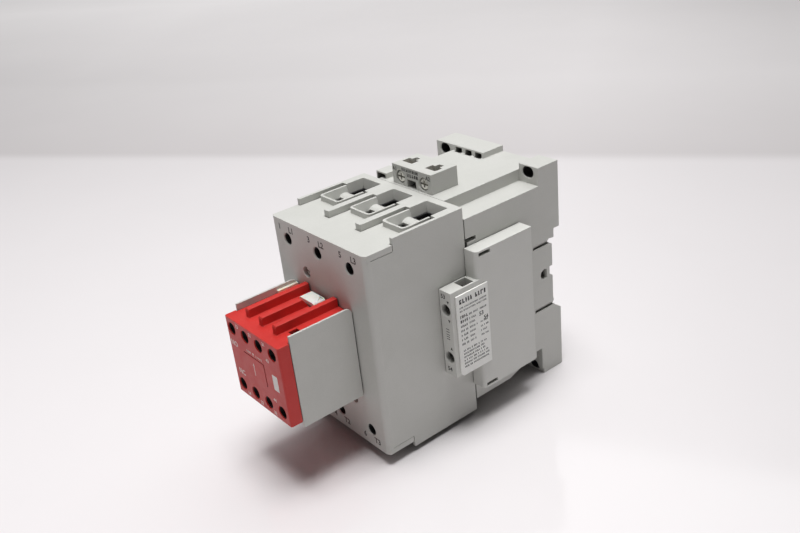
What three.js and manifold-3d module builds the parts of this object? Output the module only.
// A three-pole contactor for a 35 mm rail, with a red four-pole auxiliary block clipped to its front
// and a slim auxiliary module on its right side.
//
// Millimetres. +Z is up and the front faces -Y. While it is built, X = 0 is the middle of the
// three poles, Y = 0 is the front face and Z = 0 is the lower edge of that face. The group at the
// end moves the whole so that the origin is at the bottom centre of the bounding box.

import * as THREE from 'three';
import { mergeVertices } from 'three/addons/utils/BufferGeometryUtils.js';
import Module from 'manifold-3d';

const wasm = await Module();
wasm.setup();

// ---- Driving dimensions ----

const HALF_WIDTH = 36;
const FRONT_HEIGHT = 103;
const CONTACT_DEPTH = 56;
const REAR = 119.1;
const POLE_PITCH = 24;
const TRAVEL = 5.5;
const GAP = 0.3;
const FIT = 0.2;
const WALL = 2.4;

const CENTRE = FRONT_HEIGHT / 2;
const POLES = [-POLE_PITCH, 0, POLE_PITCH];
const BIG = 200;

// Front cover and contact housing
const COVER_THICKNESS = 2.8;
const CORNER_RADIUS = 2.6;
const SLAB_THICKNESS = 2.9;
const SLAB_DEPTH = 15.2;
const PLATFORM = FRONT_HEIGHT + 3.1;
const PLATFORM_START = 41.4;
const RIB_HALF = 1.9;
const SCREW_Z = FRONT_HEIGHT - 9.1;
const ACCESS_RADIUS = 2.95;
const FRAME_HALF = 7.6;
const FRAME_START = 25;
const FRAME_TOP = FRONT_HEIGHT + 2.7;
const FRAME_WALL = 1.1;
const WELL_HALF = 5.4;
const WELL_START = 31.9;
const WELL_END = 35.4;
const POCKET_HALF = 6.5;
const POCKET_END = 50.8;
const RIM = 0.7;
const RIDGE_Y = 38;
const RIDGE_RADIUS = 3.6;
const SLAB_LOW = FRONT_HEIGHT - SLAB_THICKNESS;
const SHELL_TOP = SLAB_LOW - FIT;
const SHELL_BACK = 53.6;
const RECESS_RADIUS = 2.7;
const SCREW_SEAT_RADIUS = 3.4;
const COVER_WINDOW_HALF = 9.5;
const COVER_SCREWS = [[-11.6, 80.6], [13.2, FRONT_HEIGHT - 80.6]];

// Rear housing
const REAR_START = CONTACT_DEPTH + 0.4;
const SPINE_HALF = 23.6;
const LEDGE = 100.1;
const LUG_START = 105;
const LUG_TOP = 109.2;
const LUG_HOLE_X = 29.4;
const LUG_HOLE_Z = 105.8;
const LUG_HOLE_RADIUS = 2.75;
const RAIL_FACE = 113.6;
const RAIL_LOW = 31.5;
const RAIL_HIGH = 66.5;
const CORE_BACK = 99.7;
const LATCH_LOW = -1.6;
const GROOVE_LIPS = [32, 67.5];
const GROOVE_RISE = 3.7;
const GROOVE_DEPTH = 1.6;
const GROOVE_START = 100;
const CLIP_HEIGHT = 1.7;

// Current path
const BUSBAR_FRONT = 41.3;
const BUSBAR_THICKNESS = 2;
const CONTACT_OFFSET = 14;

// Front auxiliary block
const AUX_FRONT = -39.7;
const AUX_SLAB_DEPTH = 6;
const AUX_HALF = 22.2;
const AUX_LOW = 31.2;
const AUX_HIGH = 71.4;
const AUX_CENTRE = (AUX_LOW + AUX_HIGH) / 2;
const AUX_PITCH = 11.25;
const AUX_RIB_RISE = 4.2;
const AUX_RIB_HALF = 1.55;
const LATCH_WAY_FRONT = -9.5;
const AUX_SCREW_INSET = 5.3;
const AUX_SHIFT = -0.5;
const AUX_HOLE_RADIUS = 3.1;
const AUX_WIRE_HALF = 3;
const SHIELD_THICKNESS = 1.1;
const SHIELD_RISE = 3.2;

// Side auxiliary module
const SIDE_OUTER = 44.05;
const SIDE_INNER = HALF_WIDTH + GAP;
const SIDE_LOW = 13;
const SIDE_HIGH = 86.5;
const SIDE_REAR = 91;
const SIDE_FRONT = 54.8;
const SIDE_CORNER_RADIUS = 2.2;
const BLOCK_FRONT = 38;
const BLOCK_LOW = 28;
const BLOCK_HIGH = 72.6;
const LABEL_INNER = SIDE_OUTER + 0.1;
const LABEL_THICKNESS = 0.9;
const SIDE_SCREW_X = 40;
const SIDE_SCREW_HEIGHTS = [37.7, 62.9];
const SIDE_HOLE_RADIUS = 2.9;

// Coil terminals
const COIL_FRONT = 57.3;
const COIL_BACK = 73.7;
const COIL_TOP = 115.9;
const COIL_SCREW_X = 8.4;
const COIL_SEAT_RADIUS = 3.4;
const COIL_SCREW_Z = 110;

// ---- Materials ----

function material(color, roughness, metalness) {
  return new THREE.MeshStandardMaterial({ color, roughness, metalness });
}

const GREY = material(0xc9c9c4, 0.55, 0);
const RED = material(0xb32a22, 0.45, 0);
const BLACK = material(0x2b2b2b, 0.6, 0);
const WHITE = material(0xe8e8e0, 0.5, 0);
const LABEL = material(0xf0f0ee, 0.7, 0);
const STEEL = material(0xb8babd, 0.35, 0.9);
const IRON = material(0x6d6f72, 0.5, 0.9);
const COPPER = material(0xb87333, 0.35, 0.9);

// ---- Shape helpers ----

function solid(geometry) {
  const bare = geometry.clone();
  bare.deleteAttribute('normal');
  bare.deleteAttribute('uv');
  const merged = mergeVertices(bare, 1e-4);
  return new wasm.Manifold(new wasm.Mesh({
    numProp: 3,
    vertProperties: new Float32Array(merged.attributes.position.array),
    triVerts: new Uint32Array(merged.index.array),
  }));
}

function box(x0, x1, y0, y1, z0, z1) {
  const geometry = new THREE.BoxGeometry(x1 - x0, y1 - y0, z1 - z0);
  geometry.translate((x0 + x1) / 2, (y0 + y1) / 2, (z0 + z1) / 2);
  return solid(geometry);
}

// A cylinder along Y, the direction of most screws.
function rod(x, z, y0, y1, radius, sides = 16) {
  const geometry = new THREE.CylinderGeometry(radius, radius, y1 - y0, sides);
  geometry.translate(x, (y0 + y1) / 2, z);
  return solid(geometry);
}

// A cylinder along X.
function bar(y, z, x0, x1, radius, sides = 16) {
  const geometry = new THREE.CylinderGeometry(radius, radius, x1 - x0, sides);
  geometry.rotateZ(Math.PI / 2);
  geometry.translate((x0 + x1) / 2, y, z);
  return solid(geometry);
}

// An outline in (y, z) drawn out along X.
function alongX(points, x0, x1) {
  const outline = new THREE.Shape(points.map(([y, z]) => new THREE.Vector2(y, z)));
  const geometry = new THREE.ExtrudeGeometry(outline, { depth: x1 - x0, bevelEnabled: false });
  const turn = new THREE.Matrix4().makeBasis(
    new THREE.Vector3(0, 1, 0),
    new THREE.Vector3(0, 0, 1),
    new THREE.Vector3(1, 0, 0),
  );
  geometry.applyMatrix4(turn);
  geometry.translate(x0, 0, 0);
  return solid(geometry);
}

// An outline in (x, y) drawn up along Z.
function alongZ(shape, z0, z1, arcSegments = 4) {
  const options = { depth: z1 - z0, bevelEnabled: false, curveSegments: arcSegments };
  const geometry = new THREE.ExtrudeGeometry(shape, options);
  geometry.translate(0, 0, z0);
  return solid(geometry);
}

// A rectangle whose two corners on the low second-coordinate side are rounded.
function roundedFront(x0, x1, y0, y1, radius) {
  const shape = new THREE.Shape();
  shape.moveTo(x0, y1);
  shape.lineTo(x0, y0 + radius);
  shape.absarc(x0 + radius, y0 + radius, radius, Math.PI, 1.5 * Math.PI, false);
  shape.lineTo(x1 - radius, y0);
  shape.absarc(x1 - radius, y0 + radius, radius, 1.5 * Math.PI, 2 * Math.PI, false);
  shape.lineTo(x1, y1);
  return shape;
}

// A funnel: a box whose lower rectangle is smaller than its upper one.
function funnel(top, bottom) {
  const [x0, x1, y0, y1, z1] = top;
  const [u0, u1, v0, v1, z0] = bottom;
  const geometry = new THREE.BoxGeometry(1, 1, 1);
  const position = geometry.attributes.position;
  for (let i = 0; i < position.count; i += 1) {
    const high = position.getZ(i) > 0;
    const right = position.getX(i) > 0;
    const back = position.getY(i) > 0;
    const x = high ? [x0, x1] : [u0, u1];
    const y = high ? [y0, y1] : [v0, v1];
    position.setXYZ(i, x[Number(right)], y[Number(back)], high ? z1 : z0);
  }
  return solid(geometry);
}

class Helix extends THREE.Curve {
  constructor(start, axis, radius, length, turns) {
    super();
    this.start = start;
    this.axis = axis;
    this.radius = radius;
    this.length = length;
    this.turns = turns;
  }

  getPoint(t, target = new THREE.Vector3()) {
    const angle = 2 * Math.PI * this.turns * t;
    const across = this.radius * Math.cos(angle);
    const aside = this.radius * Math.sin(angle);
    if (this.axis === 'y') {
      return target.set(this.start.x + across, this.start.y + this.length * t, this.start.z + aside);
    }
    return target.set(this.start.x + across, this.start.y + aside, this.start.z + this.length * t);
  }
}

// A coil spring whose wire stays between its two end planes.
function spring(x, y, z, axis, radius, wire, length, turns, sides = 8) {
  const start = new THREE.Vector3(x, y, z);
  const inset = wire / 2;
  if (axis === 'y') start.y += inset;
  else start.z += inset;
  const section = new THREE.Shape();
  section.absarc(0, 0, wire / 2, 0, 2 * Math.PI, false);
  const geometry = new THREE.ExtrudeGeometry(section, {
    steps: Math.round(turns * sides),
    curveSegments: 2,
    bevelEnabled: false,
    extrudePath: new Helix(start, axis, radius, length - wire, turns),
  });
  return solid(geometry);
}

function union(pieces) {
  return pieces.reduce((whole, piece) => whole.add(piece));
}

function cut(body, tools) {
  return tools.reduce((whole, tool) => whole.subtract(tool), body);
}

// The same solid upside down about the middle height of the front face.
function flipped(body) {
  return body.mirror([0, 0, 1]).translate([0, 0, FRONT_HEIGHT]);
}

// A solid above the middle height, joined with its copy below.
function paired(body) {
  return body.add(flipped(body));
}

const group = new THREE.Group();

function addPart(name, body, look) {
  const mesh = body.getMesh();
  const geometry = new THREE.BufferGeometry();
  geometry.setAttribute('position', new THREE.BufferAttribute(new Float32Array(mesh.vertProperties), 3));
  geometry.setIndex(new THREE.BufferAttribute(new Uint32Array(mesh.triVerts), 1));
  const part = new THREE.Mesh(geometry, look);
  part.name = name;
  group.add(part);
}

// ---- Housings ----

// The wire funnel of one pole: a raised frame, a sunk floor with a ridge, and a small opening.
function funnelFrame(x) {
  const shape = roundedFront(x - FRAME_HALF, x + FRAME_HALF, FRAME_START, PLATFORM_START - FIT, 2);
  return alongZ(shape, FRONT_HEIGHT - 1, FRAME_TOP, 2);
}

function funnelHollow(x) {
  const half = FRAME_HALF - FRAME_WALL;
  const top = [x - half, x + half, FRAME_START + FRAME_WALL, BIG, FRAME_TOP + 0.1];
  const floor = [x - half + 1, x + half - 1, FRAME_START + 3.5, BIG, FRONT_HEIGHT - 1.6];
  const well = box(x - WELL_HALF, x + WELL_HALF, WELL_START, WELL_END, FRONT_HEIGHT - 5, FRONT_HEIGHT);
  return funnel(top, floor).subtract(ridge(x)).add(well);
}

function ridge(x) {
  return bar(RIDGE_Y, FRONT_HEIGHT + 0.4 - RIDGE_RADIUS, x - FRAME_HALF, x + FRAME_HALF, RIDGE_RADIUS, 12);
}

function coverSlab() {
  const front = box(-HALF_WIDTH, HALF_WIDTH, 1, SLAB_DEPTH, SLAB_LOW, FRONT_HEIGHT);
  const half = POLE_PITCH / 2 - RIB_HALF - FIT;
  const tongues = POLES.map((x) => {
    const slab = box(x - half, x + half, 1, PLATFORM_START - FIT, SLAB_LOW, FRONT_HEIGHT);
    return slab.add(funnelFrame(x)).subtract(funnelHollow(x));
  });
  return union([front, ...tongues]);
}

function frontCover() {
  const outline = roundedFront(-HALF_WIDTH, HALF_WIDTH, 0, COVER_THICKNESS, CORNER_RADIUS);
  const plate = alongZ(outline, 0, FRONT_HEIGHT);
  const access = POLES.map((x) => paired(rod(x, SCREW_Z, -1, 5, ACCESS_RADIUS)));
  const recesses = COVER_SCREWS.map(([x, z]) => rod(x, z, -1, 5, RECESS_RADIUS));
  const window = box(-10, 10, -1, 5, CENTRE - COVER_WINDOW_HALF, CENTRE + COVER_WINDOW_HALF);
  return cut(union([plate, paired(coverSlab())]), [...access, ...recesses, window]);
}

// Platform, ribs between the poles and wire pockets, above the middle height.
function contactPlatform() {
  const base = SHELL_TOP - 0.5;
  const rib = (x0, x1) => box(x0, x1, SLAB_DEPTH + GAP, PLATFORM_START + 1, base, PLATFORM);
  const deck = box(-HALF_WIDTH, HALF_WIDTH, PLATFORM_START, CONTACT_DEPTH, base, PLATFORM);
  const inner = [-POLE_PITCH / 2, POLE_PITCH / 2].map((x) => rib(x - RIB_HALF, x + RIB_HALF));
  const outer = [-HALF_WIDTH, HALF_WIDTH - RIB_HALF].map((x) => rib(x, x + RIB_HALF));
  const pockets = POLES.map((x) => {
    const [left, right, start] = [x - POCKET_HALF, x + POCKET_HALF, PLATFORM_START - 1];
    const rim = [left - RIM, right + RIM, start, POCKET_END + 1, PLATFORM + 0.1];
    const floor = [left, right, start, POCKET_END, FRONT_HEIGHT - 1.8];
    const slot = box(left, right, start, POCKET_END, base - 4.5, FRONT_HEIGHT - 1);
    return funnel(rim, floor).add(slot);
  });
  return cut(union([deck, ...inner, ...outer]), pockets);
}

function contactHousing() {
  const [top, bottom] = [SHELL_TOP, FRONT_HEIGHT - SHELL_TOP];
  const shell = box(-HALF_WIDTH, HALF_WIDTH, COVER_THICKNESS + GAP, CONTACT_DEPTH, bottom, top);
  const sideWall = 2;
  const halfPartition = 0.9;
  const chambers = POLES.map((x) => {
    const left = x < 0 ? -HALF_WIDTH + sideWall : x - POLE_PITCH / 2 + halfPartition;
    const right = x > 0 ? HALF_WIDTH - sideWall : x + POLE_PITCH / 2 - halfPartition;
    const front = box(left, right, 0, PLATFORM_START, bottom - 1, top + 1);
    const rear = box(left, right, PLATFORM_START - 1, SHELL_BACK, bottom, top);
    return front.add(rear);
  });
  const shelves = POLES.map((x) => {
    const shelf = box(x - 11.3, x + 11.3, 16.5, 19.5, top - 14, top - 0.1);
    return paired(shelf.subtract(rod(x, SCREW_Z, 10, 25, SCREW_SEAT_RADIUS)));
  });
  const crossing = box(-31, 31, 8, SHELL_BACK, CENTRE - 19, CENTRE + 19);
  const link = box(-14, 14, 50, 60, CENTRE - 11, CENTRE + 11);
  const bosses = COVER_SCREWS.map(([x, z]) => rod(x, z, 5, 53.8, 3.9, 12));
  const threads = COVER_SCREWS.map(([x, z]) => rod(x, z, 0, 24, 1.9, 10).add(rod(x, z, 0, 4.2, 3, 10)));
  const hollow = cut(shell, [...chambers, crossing, link]);
  return cut(union([hollow, ...shelves, ...bosses, paired(contactPlatform())]), threads);
}

// Side view of the rear housing from the front edge round the rail channel, in (y, z).
function rearProfile() {
  const low = FRONT_HEIGHT - LEDGE;
  return [
    [REAR_START, low], [80, low], [88, 5.6], [100, 5.6], [100, 9.5], [104, 9.5],
    [104, FRONT_HEIGHT - PLATFORM], [REAR, FRONT_HEIGHT - PLATFORM], [REAR, 28.3],
    [114.7, RAIL_LOW - 0.3], [RAIL_FACE, 36.6], [RAIL_FACE, 49], [111.5, 50.3], [111.5, 54.6],
    [RAIL_FACE, 54.6], [RAIL_FACE, RAIL_HIGH], [111.2, 68.2], [111.4, 70.1], [115, 69.4],
    [115, 74.4], [REAR, 74.4],
    [REAR, PLATFORM], [LUG_START, PLATFORM], [LUG_START, LEDGE], [REAR_START, LEDGE],
  ];
}

function rearLugs() {
  const right = box(SPINE_HALF, HALF_WIDTH, LUG_START, REAR, PLATFORM - 1, LUG_TOP);
  const left = box(-HALF_WIDTH, -0.6, LUG_START, REAR, PLATFORM - 1, LUG_TOP);
  const lowLeft = box(-HALF_WIDTH, -SPINE_HALF, LUG_START, REAR, PLATFORM - 1, LUG_TOP);
  return union([right, left, flipped(lowLeft.add(right))]);
}

function lugCuts() {
  const holes = [-LUG_HOLE_X, LUG_HOLE_X].map((x) => (
    paired(rod(x, LUG_HOLE_Z, LUG_START - 1, REAR + 1, LUG_HOLE_RADIUS))
  ));
  const sockets = [-18.9, -11.7, -4.5].map((x) => (
    box(x - 2.3, x + 2.3, LUG_START - 1, LUG_START + 8, 104.6, 108.2)
  ));
  return [...holes, ...sockets];
}

// The slot that guides the sliding latch, open to the rear and the bottom, with its spring pocket.
function latchSlot() {
  const wide = box(-12, 12, 112.5, 116, -20, 30);
  const narrow = box(-8, 8, 115, REAR + 1, -20, 40);
  const pocket = box(-5, 5, 106.5, 113, 5, 30);
  return union([wide, narrow, pocket]);
}

// The fixed hook behind the upper flange of the rail.
function railHook() {
  const profile = [[112, 76], [112, 70], [113, 71.5], [115, 71.5], [115, 63.5], [117.2, 64.5], [117.2, 76]];
  return alongX(profile, -20, 20);
}

function accessorySocket() {
  const block = box(-27.6, -19.6, COIL_FRONT, 66, LEDGE - 1, LUG_TOP - FIT);
  return block.subtract(rod(-22.6, 106.4, COIL_FRONT - 1, 62, 2.2));
}

// A clip groove in a side wall: its back slopes in and down to a lip that drops behind the wall.
function groove(side, lip) {
  const beyond = 1;
  const drop = 0.6;
  const slope = (GROOVE_RISE + drop) / GROOVE_DEPTH;
  const outer = side * (HALF_WIDTH + beyond);
  const inner = side * (HALF_WIDTH - GROOVE_DEPTH);
  const corners = [GROOVE_START, REAR + beyond].flatMap((y) => [
    [outer, y, lip + GROOVE_RISE + slope * beyond],
    [inner, y, lip - drop],
    [outer, y, lip + (drop / GROOVE_DEPTH) * beyond],
  ]);
  return wasm.Manifold.hull(corners);
}

function baseHousing() {
  const sides = alongX(rearProfile(), -HALF_WIDTH, HALF_WIDTH);
  const spine = box(-SPINE_HALF, SPINE_HALF, REAR_START, LUG_START + 1, FRONT_HEIGHT - PLATFORM, PLATFORM);
  const hollow = box(-HALF_WIDTH + WALL, HALF_WIDTH - WALL, 50, 100, 12, LEDGE - 2.5);
  const spineHollow = box(-SPINE_HALF + WALL, SPINE_HALF - WALL, 50, 100, -0.5, PLATFORM - 2.6);
  const sideSlot = box(30, 40, 64, 84.5, 44, 57);
  const grooves = GROOVE_LIPS.flatMap((lip) => [groove(-1, lip), groove(1, lip)]);
  const clipHoles = [-HALF_WIDTH - 1, HALF_WIDTH - 2].map((x) => (
    bar(107.6, 51.8, x, x + 3, 2.7).subtract(box(x - 1, x + 4, 109.2, 112, 40, 60))
  ));
  const clipSlots = [-HALF_WIDTH - 1, HALF_WIDTH - 1.5].map((x) => (
    paired(box(x, x + 2.5, 56.8, 63, 88.2, 88.2 + CLIP_HEIGHT))
  ));
  const whole = union([sides, spine, rearLugs(), accessorySocket()]);
  const tools = [hollow, spineHollow, sideSlot, latchSlot(), ...grooves, ...clipHoles, ...clipSlots];
  return cut(whole, [...tools, ...lugCuts()]).add(railHook());
}

function coilTerminalHousing() {
  const block = box(-13.8, 14.5, COIL_FRONT, COIL_BACK, PLATFORM + 0.1, COIL_TOP);
  const tools = [-1, 1].flatMap((side) => {
    const x = side * COIL_SCREW_X;
    const wire = box(x - 3.5, x + 3.5, 62.2, 66.8, 107.6, COIL_TOP + 1);
    const stem = box(x - 1.5, x + 1.5, 66, 69.5, 107.6, COIL_TOP + 1);
    const seat = rod(x, COIL_SCREW_Z, COIL_FRONT - 1, 64, COIL_SEAT_RADIUS);
    return [wire, stem, seat];
  });
  const gap = box(-3.2, 3.2, COIL_FRONT - 1, 64, PLATFORM, 110);
  return cut(block, [...tools, gap]);
}

// ---- Fasteners and springs ----

// A screw along Y whose head faces the front, with a crossed or hexagonal recess.
function screw(x, z, front, headRadius, headLength, shankRadius, end, drive) {
  const head = rod(x, z, front, front + headLength, headRadius, 12);
  const shank = rod(x, z, front + headLength - 0.1, end, shankRadius, 8);
  const slot = headRadius * 0.9;
  const thin = headRadius * 0.16;
  const depth = front + headLength * 0.45;
  const blade = box(x - thin, x + thin, front - 1, depth, z - slot, z + slot);
  const cross = box(x - slot * 0.8, x + slot * 0.8, front - 1, depth, z - thin, z + thin);
  const drives = { cross: [blade, cross], hex: [rod(x, z, front - 1, depth + 0.6, 2.3, 6)] };
  return cut(head.add(shank), drives[drive]);
}

function latchSpring() {
  return spring(0, 109.6, 5.3, 'z', 1.9, 0.7, 15.4, 4);
}

// ---- Rail latch ----

function dinLatch() {
  const wide = box(-11.7, 11.7, 112.9, 115.7, LATCH_LOW, 29.6);
  const narrow = box(-7.7, 7.7, 115.6, 118.2, LATCH_LOW, 31);
  const lip = alongX([[115.3, 29], [118.2, 29], [118.2, 33.5], [117.2, 35], [115.3, 35]], -7.7, 7.7);
  const foot = box(-4.5, 4.5, 107.5, 113, 21, 24);
  const toolSlot = box(-3, 3, 110, 120, LATCH_LOW + 2, LATCH_LOW + 4.5);
  return union([wide, narrow, lip, foot]).subtract(toolSlot);
}

// ---- Magnet ----

// An E of laminations whose three legs reach from the yoke to the pole faces, in (y, z).
function laminations(yoke, root, face) {
  const half = 37.5;
  const profile = [
    [yoke, CENTRE - half], [face, CENTRE - half], [face, CENTRE - 27.5], [root, CENTRE - 27.5],
    [root, CENTRE - 9.5], [face, CENTRE - 9.5], [face, CENTRE + 9.5], [root, CENTRE + 9.5],
    [root, CENTRE + 27.5], [face, CENTRE + 27.5], [face, CENTRE + half], [yoke, CENTRE + half],
  ];
  return yoke > face ? profile.reverse() : profile;
}

function magnetCore() {
  return alongX(laminations(CORE_BACK, 90, 74), -13, 13);
}

function armature() {
  return alongX(laminations(58.6, 64, 74 - TRAVEL - GAP), -13, 13);
}

function coilBobbin() {
  const tube = box(-14.7, 14.7, 75, 89.6, CENTRE - 11, CENTRE + 11);
  const flanges = [75, 88.2].map((y) => box(-24, 24, y, y + 1.4, CENTRE - 27, CENTRE + 27));
  return union([tube, ...flanges]).subtract(box(-13.4, 13.4, 70, 95, CENTRE - 9.9, CENTRE + 9.9));
}

function coilWinding() {
  const shape = new THREE.Shape();
  const x = 22.5;
  const z = 25.5;
  const r = 5;
  shape.moveTo(-x + r, -z);
  shape.absarc(x - r, -z + r, r, -Math.PI / 2, 0, false);
  shape.absarc(x - r, z - r, r, 0, Math.PI / 2, false);
  shape.absarc(-x + r, z - r, r, Math.PI / 2, Math.PI, false);
  shape.absarc(-x + r, -z + r, r, Math.PI, 1.5 * Math.PI, false);
  const geometry = new THREE.ExtrudeGeometry(shape, { depth: 11.2, bevelEnabled: false, curveSegments: 3 });
  geometry.rotateX(Math.PI / 2);
  geometry.translate(0, 87.9, CENTRE);
  return solid(geometry).subtract(box(-15, 15, 70, 95, CENTRE - 11.3, CENTRE + 11.3));
}

// ---- Moving contacts ----

const TIP_RADIUS = 3.4;
const TIP_RISE = 1.2;
const BRIDGE_REAR = BUSBAR_FRONT - GAP - TRAVEL - 2 * TIP_RISE;
const BRIDGE_FRONT = BRIDGE_REAR - 2.4;

function contactCarrier() {
  const beam = box(-30.5, 30.5, 12, 20, CENTRE - 8, CENTRE + 8);
  const cages = POLES.map((x) => {
    const block = box(x - 7.6, x + 7.6, 19, 36, CENTRE - 6, CENTRE + 6);
    return block.subtract(box(x - 5.6, x + 5.6, 20.1, 34, CENTRE - 10, CENTRE + 10));
  });
  const stem = box(-7.6, 7.6, 34, 58.3, CENTRE - 6, CENTRE + 6);
  const pusher = box(-4, 4, 0.3, 13, CENTRE - 4, CENTRE + 4);
  return union([beam, ...cages, stem, pusher]);
}

function bridge(x) {
  const plate = box(x - 4.5, x + 4.5, BRIDGE_FRONT, BRIDGE_REAR, CENTRE - 17.5, CENTRE + 17.5);
  const tip = rod(x, CENTRE + CONTACT_OFFSET, BRIDGE_REAR - 0.1, BRIDGE_REAR + TIP_RISE, TIP_RADIUS, 12);
  return plate.add(paired(tip));
}

function contactSpring(x) {
  return spring(x, 20.4, CENTRE, 'y', 3, 0.8, BRIDGE_FRONT - 20.7, 3);
}

function lineContact(x) {
  const back = BUSBAR_FRONT + BUSBAR_THICKNESS;
  const strip = box(x - 5.2, x + 5.2, BUSBAR_FRONT, back, CENTRE + CONTACT_OFFSET - 4.5, 98);
  const tip = rod(x, CENTRE + CONTACT_OFFSET, BUSBAR_FRONT - TIP_RISE, BUSBAR_FRONT + 0.1, TIP_RADIUS, 12);
  return strip.add(tip);
}

function clampCage(x) {
  const half = 5.2;
  const [z0, z1] = [SCREW_Z - half, SCREW_Z + half];
  const ring = box(x - 7.3, x + 7.3, 30, 52.2, z0, z1);
  const wireWay = box(x - 5.7, x + 5.7, 33, 50.1, z0 - 1, z1 + 1);
  const thread = rod(x, SCREW_Z, 29, 34, 3.3, 12);
  return cut(ring, [wireWay, thread]);
}

function terminalScrew(x) {
  return screw(x, SCREW_Z, 8, 4.4, 5, 2.9, 36, 'hex');
}

// ---- Front auxiliary block ----

const AUX_COLUMNS = [-1.5, -0.5, 0.5, 1.5].map((step) => step * AUX_PITCH + AUX_SHIFT);
const AUX_SLAB_BACK = AUX_FRONT + AUX_SLAB_DEPTH;
const AUX_BASE_FRONT = AUX_SLAB_BACK + GAP;
const AUX_BASE_BACK = -GAP;
const AUX_BASE_HALF = AUX_HALF - SHIELD_THICKNESS - GAP;

function auxFlipped(body) {
  return body.mirror([0, 0, 1]).translate([0, 0, 2 * AUX_CENTRE]);
}

function auxPaired(body) {
  return body.add(auxFlipped(body));
}

function auxCover() {
  const outline = roundedFront(-AUX_HALF, AUX_HALF, AUX_FRONT, AUX_SLAB_BACK, 1);
  const slab = alongZ(outline, AUX_LOW, AUX_HIGH, 2);
  const holes = AUX_COLUMNS.map((x) => (
    auxPaired(rod(x, AUX_HIGH - AUX_SCREW_INSET, AUX_FRONT - 1, AUX_SLAB_BACK + 1, AUX_HOLE_RADIUS))
  ));
  return cut(slab, [...holes, auxWindow(AUX_FRONT - 1, AUX_SLAB_BACK + 1, 0)]);
}

// The window in the middle of the block's front, made smaller by a margin for the cover that fills it.
function auxWindow(y0, y1, margin) {
  const half = 6.1 - margin;
  return box(-8 + margin, 7 - margin, y0, y1, AUX_CENTRE - half, AUX_CENTRE + half);
}

function auxWindowCover() {
  return auxWindow(AUX_FRONT, AUX_SLAB_BACK, 2 * FIT);
}

// A rib along the block; the middle one slopes down in front of the locking tongue.
function auxRib(x, sloped) {
  const [low, high] = [AUX_HIGH - 2, AUX_HIGH + AUX_RIB_RISE];
  const end = sloped ? LATCH_WAY_FRONT : AUX_BASE_BACK - 0.4;
  const topEnd = sloped ? end - 2.3 : end;
  const shoulder = sloped ? AUX_HIGH + 0.5 : high - 0.5;
  const start = AUX_BASE_FRONT;
  const profile = [[start, low], [end, low], [end, shoulder], [topEnd, high], [start, high]];
  return alongX(profile, x - AUX_RIB_HALF, x + AUX_RIB_HALF);
}

function auxBase() {
  const body = box(-AUX_BASE_HALF, AUX_BASE_HALF, AUX_BASE_FRONT, AUX_BASE_BACK, AUX_LOW, AUX_HIGH - 0.3);
  const ribs = [-1, 0, 1].map((step) => auxRib(step * AUX_PITCH + AUX_SHIFT, step === 0));
  const wireWays = AUX_COLUMNS.map((x) => (
    auxPaired(box(x - AUX_WIRE_HALF, x + AUX_WIRE_HALF, -29, -23.8, AUX_HIGH - 9, AUX_HIGH + 1))
  ));
  const screwWays = AUX_COLUMNS.map((x) => (
    auxPaired(rod(x, AUX_HIGH - AUX_SCREW_INSET, AUX_BASE_FRONT - 1, -22, 2.6, 12))
  ));
  const chamber = box(-17.5, 17.5, -30, -2.2, AUX_CENTRE - 9, AUX_CENTRE + 9);
  const rearWay = box(-7, 7, -3, 1, AUX_CENTRE - 6, AUX_CENTRE + 6);
  const latchWay = box(-6.6, 5.8, LATCH_WAY_FRONT, -1.8, AUX_HIGH - 6, AUX_HIGH + 1);
  const whole = union([body, ...ribs.map(auxPaired)]);
  return cut(whole, [...wireWays, ...screwWays, chamber, rearWay, latchWay]);
}

function auxShield(side) {
  const inner = side * (AUX_HALF - SHIELD_THICKNESS);
  const outer = side * AUX_HALF;
  const low = AUX_LOW - SHIELD_RISE;
  const high = AUX_HIGH + SHIELD_RISE;
  const profile = [
    [AUX_BASE_FRONT, low], [-0.5, low], [-0.5, high - 3], [-0.9, high - 1.5],
    [-2, high - 0.4], [-3.5, high], [AUX_BASE_FRONT, high],
  ];
  return alongX(profile, Math.min(inner, outer), Math.max(inner, outer));
}

function auxSlider() {
  const block = box(-16, 16, -29, -9, AUX_CENTRE - 6, AUX_CENTRE + 6);
  const windows = [-AUX_PITCH, 0, AUX_PITCH].map((x) => box(x - 2.6, x + 2.6, -26, -12, 30, 80));
  const stem = box(-3.5, 3.5, -10, -0.1, AUX_CENTRE - 3.5, AUX_CENTRE + 3.5);
  return cut(block, windows).add(stem);
}

// The sprung tongue that locks the block to the contactor, a cap on a thinner post.
function auxLatch() {
  const cap = box(-6.3, 5.5, -9.2, -2.7, AUX_HIGH + 0.6, AUX_HIGH + 2.6);
  const post = box(-4.8, 4, -8.6, -3.4, AUX_HIGH - 4, AUX_HIGH + 1);
  return cap.add(post);
}

// ---- Side auxiliary module ----

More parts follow.
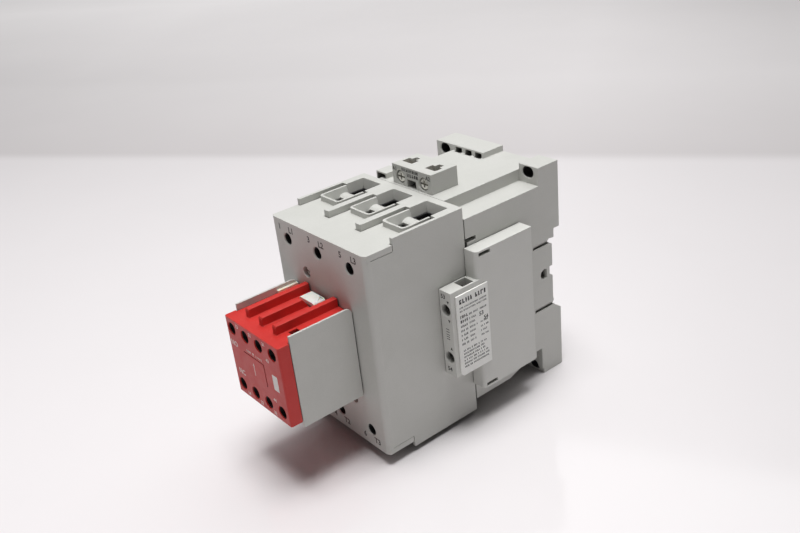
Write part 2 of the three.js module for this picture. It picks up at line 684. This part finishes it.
function sideModuleHousing() {
  const block = box(SIDE_INNER, SIDE_OUTER, BLOCK_FRONT, SIDE_FRONT + 3, BLOCK_LOW, BLOCK_HIGH);
  const chamber = box(SIDE_INNER - 1, SIDE_OUTER - 1.6, 62, 88, 24, 76);
  const [wayLeft, wayRight] = [SIDE_INNER + 0.9, SIDE_OUTER - 0.9];
  const wireWay = box(wayLeft, wayRight, 46.4, 53.2, BLOCK_HIGH - 9, BLOCK_HIGH + 1);
  const lowerWay = box(wayLeft, wayRight, 46.4, 53.2, BLOCK_LOW - 1, BLOCK_LOW + 9);
  const screwWays = SIDE_SCREW_HEIGHTS.map((z) => (
    rod(SIDE_SCREW_X, z, BLOCK_FRONT - 1, 55, SIDE_HOLE_RADIUS)
  ));
  const clipSlots = [SIDE_LOW + 1, SIDE_HIGH - 1 - CLIP_HEIGHT].map((z) => (
    box(SIDE_OUTER - 1.6, SIDE_OUTER + 1, 56.6, 63.7, z, z + CLIP_HEIGHT)
  ));
  return cut(sidePlate().add(block), [chamber, wireWay, lowerWay, ...screwWays, ...clipSlots]);
}

// The flat plate of the side module, with a rounded outer front edge.
function sidePlate() {
  const shape = new THREE.Shape();
  const radius = SIDE_CORNER_RADIUS;
  shape.moveTo(SIDE_INNER, SIDE_REAR);
  shape.lineTo(SIDE_INNER, SIDE_FRONT);
  shape.absarc(SIDE_OUTER - radius, SIDE_FRONT + radius, radius, 1.5 * Math.PI, 2 * Math.PI, false);
  shape.lineTo(SIDE_OUTER, SIDE_REAR);
  return alongZ(shape, SIDE_LOW, SIDE_HIGH, 4);
}

function sideLabelPlate() {
  const profile = [[40.3, BLOCK_LOW + 1.4], [41.7, BLOCK_LOW], [60, BLOCK_LOW], [60, 70.2], [40.3, 70.2]];
  return alongX(profile, LABEL_INNER, LABEL_INNER + LABEL_THICKNESS);
}

function sidePlunger() {
  const slider = box(37.5, 41.8, 64, 80, 40, 61);
  const finger = box(31, 38, 66, 76, 46, 55);
  return slider.add(finger);
}

// ---- Assembly ----

addPart('base_housing', baseHousing(), GREY);
addPart('contact_housing', contactHousing(), GREY);
addPart('front_cover', frontCover(), GREY);
addPart('coil_terminal_housing', coilTerminalHousing(), GREY);
COVER_SCREWS.forEach(([x, z], i) => {
  addPart(`cover_screw_${['upper', 'lower'][i]}`, screw(x, z, 1.4, 2.4, 2.6, 1.6, 22, 'cross'), STEEL);
});

addPart('din_latch', dinLatch(), BLACK);
addPart('din_latch_spring', latchSpring(), STEEL);

addPart('magnet_core', magnetCore(), IRON);
addPart('armature', armature(), IRON);
addPart('coil_bobbin', coilBobbin(), WHITE);
addPart('coil_winding', coilWinding(), COPPER);
addPart('return_spring', spring(0, 64.4, CENTRE, 'y', 17.3, 1, 10.2, 2, 14), STEEL);

addPart('contact_carrier', contactCarrier(), BLACK);
POLES.forEach((x, i) => {
  const pole = i + 1;
  addPart(`bridge_${pole}`, bridge(x), COPPER);
  addPart(`contact_spring_${pole}`, contactSpring(x), STEEL);
  addPart(`line_contact_${pole}`, lineContact(x), COPPER);
  addPart(`load_contact_${pole}`, flipped(lineContact(x)), COPPER);
  addPart(`line_clamp_${pole}`, clampCage(x), STEEL);
  addPart(`load_clamp_${pole}`, flipped(clampCage(x)), STEEL);
  addPart(`line_screw_${pole}`, terminalScrew(x), STEEL);
  addPart(`load_screw_${pole}`, flipped(terminalScrew(x)), STEEL);
});

[-1, 1].forEach((side, i) => {
  const x = side * COIL_SCREW_X;
  addPart(`coil_screw_a${i + 1}`, screw(x, COIL_SCREW_Z, 58.1, 3.1, 2, 1.5, 63.6, 'cross'), STEEL);
});

addPart('aux_base', auxBase(), RED);
addPart('aux_cover', auxCover(), RED);
addPart('aux_window_cover', auxWindowCover(), RED);
addPart('aux_shield_left', auxShield(-1), GREY);
addPart('aux_shield_right', auxShield(1), GREY);
addPart('aux_slider', auxSlider(), WHITE);
addPart('aux_latch', auxLatch(), WHITE);
AUX_COLUMNS.forEach((x, i) => {
  const top = screw(x, AUX_HIGH - AUX_SCREW_INSET, -37.4, 2.3, 2, 1.4, -23, 'cross');
  addPart(`aux_screw_top_${i + 1}`, top, STEEL);
  addPart(`aux_screw_bottom_${i + 1}`, auxFlipped(top), STEEL);
});

addPart('side_module_housing', sideModuleHousing(), GREY);
addPart('side_label_plate', sideLabelPlate(), LABEL);
addPart('side_plunger', sidePlunger(), WHITE);
SIDE_SCREW_HEIGHTS.forEach((z, i) => {
  const body = screw(SIDE_SCREW_X, z, 39.8, 2.5, 2, 1.3, 54, 'cross');
  addPart(`side_screw_${['lower', 'upper'][i]}`, body, STEEL);
});

// ---- Placing: the origin at the bottom centre of the bounding box ----

const OUTER_RIGHT = LABEL_INNER + LABEL_THICKNESS;
const LOWEST = FRONT_HEIGHT - LUG_TOP;
group.position.set((HALF_WIDTH - OUTER_RIGHT) / 2, -(AUX_FRONT + REAR) / 2, -LOWEST);

export default group;
